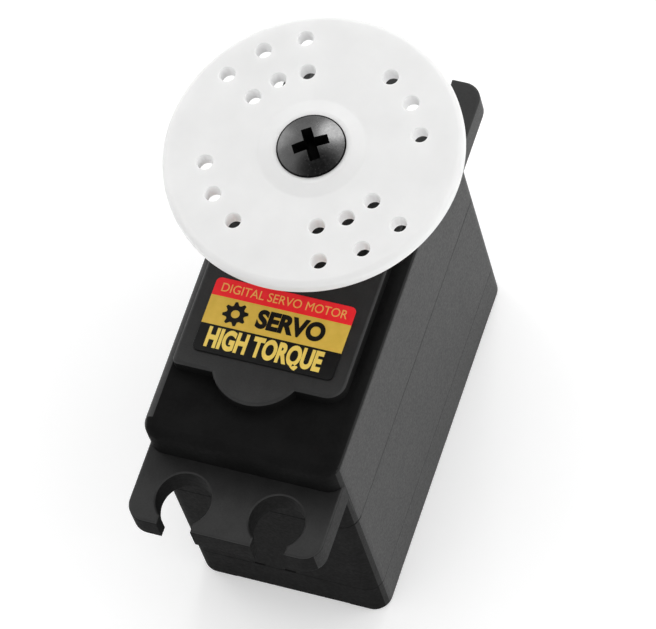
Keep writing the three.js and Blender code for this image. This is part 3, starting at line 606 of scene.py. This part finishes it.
def bottom_cover():
    """The cover stands on four low feet, one at each corner, and holds the control board on pads."""
    shell = case_prism("bottom_cover_shell", 0, COVER_TOP, low=0.15, high=0.05, steps=3)
    cut(shell, bay(FLOOR, COVER_TOP + 2))
    pads = [
        box("pad", i * 8 - 1, i * 8 + 1, j * 5.5 - 1, j * 5.5 + 1, FLOOR - 0.1, 1.87) for i, j in CORNERS
    ]
    join(shell, *pads, *at_corners("post", POST_R, FLOOR - 0.1, COVER_TOP))
    cable_exit = box("cable_exit", 13.2, 20, -2.2, 2.2, 2.3, 8)
    reliefs = [
        box("relief", FOOT - CASE_X, CASE_X - FOOT, -20, 20, -1, FOOT_RISE),
        box("relief", -30, 30, FOOT - CASE_Y, CASE_Y - FOOT, -1, FOOT_RISE),
    ]
    pockets = at_corners("pocket", HEAD_POCKET, -1, FLOOR + 0.03)
    cut(shell, cable_exit, *reliefs, *pockets, *at_corners("bore", POST_BORE, 0, 6, 20))
    finish_piece(shell, HOUSING, "case_plastic", PLASTIC, "bottom_cover")
    paint_case_shade(shell)


# ---------------------------------------------------------------- screws


def cut_cross(screw, x, y, turn, rows):
    """Cuts a cross recess as two tapered bars. A row is (reach, half width, z), mouth first."""
    for angle in (turn, turn + 90):
        c, s = math.cos(math.radians(angle)), math.sin(math.radians(angle))
        loops = []
        for reach, half, z in sorted(rows, key=lambda row: row[2]):
            flat = [(-reach, -half), (reach, -half), (reach, half), (-reach, half)]
            loops.append([(x + a * c - b * s, y + a * s + b * c, z) for a, b in flat])
        cut(screw, loft("recess", loops))


def case_screw(index, i, j):
    """A long screw from the underside. Each one's cross stopped at another angle."""
    x, y = i * SCREW_X, j * SCREW_Y
    head_r, shank_r, tip_r, top = 1.3, 0.7, 0.3, 20.4
    profile = [
        (0, FOOT_RISE), (head_r, FOOT_RISE, 0.25), (head_r, FLOOR, 0.05), (shank_r, FLOOR, 0.05),
        (shank_r, top - 0.5, 0.1), (tip_r, top, 0.1), (0, top),
    ]
    screw = lathe(f"case_screw_detail_{index}", rounded(profile, 0.1), x=x, y=y, sides=40)
    cut_cross(screw, x, y, 17 + 31 * index, [(0.8, 0.2, 0.1), (0.72, 0.17, 0.25), (0.3, 0.12, 0.75)])
    finish_piece(screw, HOUSING, "case_screw", ZINC, f"case_screw_{index}")


def dome(reach):
    """Height of the horn screw's crown at a distance from its axis."""
    return HEAD_SHOULDER + HEAD_RISE * (1 - (reach / HEAD_R) ** 2)


def horn_screw():
    shank_r, neck_r, recess_floor = 1.0, 1.4, 35.3
    head = [
        (0, 28.9), (shank_r, 28.9), (neck_r, 29.4), (neck_r, HEAD_LOW, 0.0),
        (HEAD_R, HEAD_LOW, 0.03), (HEAD_R, HEAD_SHOULDER, 0.03),
    ]
    steps = (HEAD_R * k / HEAD_RINGS for k in range(HEAD_RINGS - 1, -1, -1))
    crown = [(reach, dome(reach)) for reach in steps]
    screw = lathe("horn_screw_detail", rounded(head + crown, 0.0), x=OUTPUT_X, sides=96)
    cut_cross(screw, OUTPUT_X, 0, 33, [(1.58, 0.46, 36.85), (1.52, 0.44, 36.5), (0.95, 0.26, recess_floor)])
    finish_piece(screw, OUTPUT, "black_screw", BLACK_SCREW, "horn_screw")

    def in_shade(x, y, z, normal):
        """True for the faces painted near black as shade: the head's outer wall and the walls and floor of
        its recess.
        """
        reach = math.hypot(x - OUTPUT_X, y)
        outer_wall = reach > 0.968 * HEAD_R and z > HEAD_LOW
        recess = reach < 1.7 and recess_floor - 0.1 < z < dome(reach) - 0.03
        return outer_wall or recess

    # Paints shade on the recess and on the head's outer wall.
    paint_light_and_shade(screw, PAINTED_RECESS_SHADE, in_shade)


# ---------------------------------------------------------------- horn


def spline_outline(growth):
    """The outline of the output shaft's teeth, moved outwards."""
    teeth, tip, root = 24, 2.9, 2.62
    points = []
    for i in range(teeth * 2):
        r = (tip if i % 2 == 0 else root) + growth
        a = math.pi * i / teeth
        points.append((OUTPUT_X + r * math.cos(a), r * math.sin(a)))
    return points


def horn():
    hub_r, hub_low, ring_foot_r, ring_top_r = 4.2, 31.3, 4.4, 3.25
    profile = [
        (0, hub_low), (hub_r, hub_low, 0.15), (hub_r, HORN_LOW, 0.5),
        (HORN_R, HORN_LOW, 0.5), (HORN_R, HORN_HIGH, 0.55),
        (ring_foot_r, HORN_HIGH, 0.8), (ring_top_r, HORN_RING_HIGH, 0.25), (0, HORN_RING_HIGH),
    ]
    disc = lathe("horn_disc_detail", rounded(profile, 0.1, steps=6), x=OUTPUT_X, sides=180)
    socket = pull("socket", spline_outline(GAP), hub_low - 1, HORN_LOW + 0.1)
    cut(disc, socket, cylinder("bore", OUTPUT_X, 0, 1.5, 31, 37, 40))
    for half in (0, 180):
        for offset in (-20, 0, 20):
            for reach, angle in HORN_HOLES:
                a = math.radians(angle + offset + half)
                x, y = OUTPUT_X + reach * math.cos(a), reach * math.sin(a)
                cut(disc, flared("hole", circle(x, y, HORN_HOLE_R, 32), HORN_LOW, HORN_HIGH, lip=0.07))
    finish_piece(disc, OUTPUT, "horn_nylon", NYLON, "horn_disc", angle=40)

    def in_hole(x, y, z, normal):
        """True for the upright walls of the small holes, painted lighter to stand for light shining through
        the nylon.
        """
        return HORN_LOW < z < HORN_HIGH and abs(normal.z) < 0.5 and 5 < math.hypot(x - OUTPUT_X, y) < 11

    # Paints the hole walls lighter, for light shining through the nylon.
    paint_light_and_shade(disc, NYLON_BORE_PAINTED_LIGHT, in_hole)


# ---------------------------------------------------------------- label


def lettering(name, words, size, x, y, finish, width, bold=0.0):
    """Generic words as thin raised ink, read from the motor end, centred on (x, y)."""
    curve = bpy.data.curves.new(name, "FONT")
    curve.body = words
    curve.size = size * MM
    curve.align_x = "CENTER"
    curve.align_y = "CENTER"
    curve.extrude = 0.006 * MM
    curve.offset = bold * MM
    curve.resolution_u = 6
    text = bpy.data.objects.new(name + "_curve", curve)
    bpy.context.scene.collection.objects.link(text)
    graph = bpy.context.evaluated_depsgraph_get()
    mesh = bpy.data.meshes.new_from_object(text.evaluated_get(graph))
    bpy.data.objects.remove(text)
    place = Matrix.Translation(Vector((x, y, INK_Z)) * MM) @ Matrix.Rotation(math.radians(-90), 4, "Z")
    mesh.transform(place @ Matrix.Diagonal((width, 1, 1, 1)))
    piece = bpy.data.objects.new(name, mesh)
    bpy.context.scene.collection.objects.link(piece)
    give(piece, finish)
    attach(piece, HOUSING)


def label():
    """A film in three printed bands, cut across so that each band's edge is sharp."""
    outline = rounded_rectangle(LABEL_X0, LABEL_X1, LABEL_Y0, LABEL_Y1, LABEL_R, 8)
    film = prism("name_label_film", outline, LABEL_LOW, LABEL_HIGH, high=0.02, steps=2)
    bands = [
        ("black", LABEL_X0 - 1, LABEL_BLACK_END, "name_label"),
        ("gold", LABEL_BLACK_END, LABEL_GOLD_END),
        ("red", LABEL_GOLD_END, LABEL_X1 + 1),
    ]
    for colour, low, high, *replaced in bands:
        part = film.copy()
        part.data = film.data.copy()
        part.name = f"name_label_{colour}"
        bpy.context.scene.collection.objects.link(part)
        boolean(part, "INTERSECT", box("band", low, high, -10, 10, DECK - 1, DECK + 1))
        finish_piece(part, HOUSING, "label_film", INK[colour], *replaced)
    bpy.data.objects.remove(film)


def gear_mark(x, y):
    """A plain printed gear wheel beside the large word."""
    teeth, tip, root, hole = 8, 1.08, 0.78, 0.36

    def outline(inset):
        points = []
        for i in range(teeth * 4):
            radius = (tip if i % 4 < 2 else root) - inset
            angle = 2 * math.pi * (i + 0.5) / (teeth * 4)
            points.append((x + radius * math.cos(angle), y + radius * math.sin(angle)))
        return points

    mark = prism("label_gear_mark", outline, LABEL_HIGH - 0.01, LABEL_HIGH + 0.014)
    cut(mark, cylinder("hole", x, y, hole, LABEL_HIGH - 1, LABEL_HIGH + 1))
    finish_piece(mark, HOUSING, "label_film", INK["black"])


# ---------------------------------------------------------------- build

top_case()
middle_case()
bottom_cover()
for number, (i, j) in enumerate(CORNERS, 1):
    case_screw(number, i, j)
horn_screw()
horn()
label()

lettering("label_small_words", "DIGITAL SERVO MOTOR", 1.1, -2.85, 0.1, INK["peach"], width=0.9)
lettering("label_large_word", "SERVO", 2.15, -4.9, -1.15, INK["black"], width=0.9, bold=0.11)
lettering("label_lower_words", "HIGH TORQUE", 2.35, -7.38, 0.35, INK["bright"], width=0.62, bold=0.11)
gear_mark(-4.9, 3.6)

SLOT_FINISH = {
    "case_plastic": PLASTIC,
    "horn_nylon": NYLON,
    "black_screw": BLACK_SCREW,
    "case_screw": ZINC,
    "label_film": INK["gold"],
    "steel": STEEL,
    "brass": BRASS,
    "can_steel": CAN_STEEL,
    "ferrite": FERRITE,
    "copper": COPPER,
    "carbon": CARBON,
    "laminate": LAMINATE,
    "chip_black": CHIP,
    "sensor_blue": SENSOR_BLUE,
    "white_plastic": WHITE_PLASTIC,
}
slot_of = {row["node"]: row["material_slot"] for row in frame["record"]["subparts"]}
for node, obj in frame["nodes"].items():
    give(obj, SLOT_FINISH[slot_of[node]])

# ---------------------------------------------------------------- stage, light and camera

REACH = 3000
corners = [(-REACH, -REACH, 0), (REACH, -REACH, 0), (REACH, REACH, 0), (-REACH, REACH, 0)]
floor = make("floor", corners, [(0, 1, 2, 3)])
floor.location.z = -0.05 * MM  # a hair below the feet
floor_finish = material(
    "floor", grey(0.955), grey(0.975), (0.7, 0.85), blotch=60.0, grain=2.0, relief=0.01,
    Emission_Color=(1, 1, 1, 1), Emission_Strength=0.2,
)
give(floor, floor_finish)

# A white room whose ceiling darkens towards the zenith, so that level faces reflect little of it.
world = bpy.data.worlds.new("studio")
bpy.context.scene.world = world
world.use_nodes = True
studio = world.node_tree.nodes
direction = studio.new("ShaderNodeTexCoord")
axes = studio.new("ShaderNodeSeparateXYZ")
height = studio.new("ShaderNodeMapRange")
studio["Background"].inputs["Color"].default_value = (1, 1, 1, 1)
height.interpolation_type = "SMOOTHSTEP"
for end, sine_of_elevation, strength in (("Min", 0.86, 0.92), ("Max", 0.955, 0.03)):
    height.inputs["From " + end].default_value = sine_of_elevation
    height.inputs["To " + end].default_value = strength
world.node_tree.links.new(direction.outputs["Generated"], axes.inputs["Vector"])
world.node_tree.links.new(axes.outputs["Z"], height.inputs["Value"])
world.node_tree.links.new(height.outputs["Result"], studio["Background"].inputs["Strength"])


def area_light(name, azimuth, elevation, size, power):
    """A square lamp that faces the middle of the case. Its size is in metres and its power in watts."""
    a, e = math.radians(azimuth), math.radians(elevation)
    aim, distance = Vector((0.0, 0.0, 0.02)), 0.6
    lamp = bpy.data.lights.new(name, "AREA")
    lamp.shape = "SQUARE"
    lamp.size = size
    lamp.energy = power
    obj = bpy.data.objects.new(name, lamp)
    towards = Vector((math.cos(a) * math.cos(e), math.sin(a) * math.cos(e), math.sin(e)))
    obj.location = aim + distance * towards
    obj.rotation_euler = (aim - obj.location).to_track_quat("-Z", "Y").to_euler()
    bpy.context.scene.collection.objects.link(obj)


area_light("key", -75, 40, 0.4, 0.7)
area_light("gleam", 2, 45, 0.22, 0.75)
area_light("edge", 66, 28, 0.3, 0.45)

scene = bpy.context.scene
scene.view_settings.view_transform = "Standard"

camera_data = bpy.data.cameras.new("camera")
camera_data.sensor_width = 36.0
camera_data.lens = 276.786
camera_data.clip_start = 0.01
camera_data.shift_x = -0.0108
camera_data.shift_y = 0.0068
camera = bpy.data.objects.new("camera", camera_data)
scene.collection.objects.link(camera)
scene.camera = camera

# The camera stands on the motor end's side, looks down at the horn and is tilted to the left.
CAMERA_PLACE = Vector((-0.156143, -0.116096, 0.384078))
CAMERA_FORWARD = Vector((0.37949, 0.277382, -0.882636)).normalized()
CAMERA_ROLL = math.radians(-19.948)
level_right = CAMERA_FORWARD.cross(Vector((0, 0, 1))).normalized()
level_up = level_right.cross(CAMERA_FORWARD)
right = level_right * math.cos(CAMERA_ROLL) + level_up * math.sin(CAMERA_ROLL)
up = right.cross(CAMERA_FORWARD)
turned = Matrix((right, up, -CAMERA_FORWARD)).transposed().to_4x4()
camera.matrix_world = Matrix.Translation(CAMERA_PLACE) @ turned

bpy.context.view_layer.update()
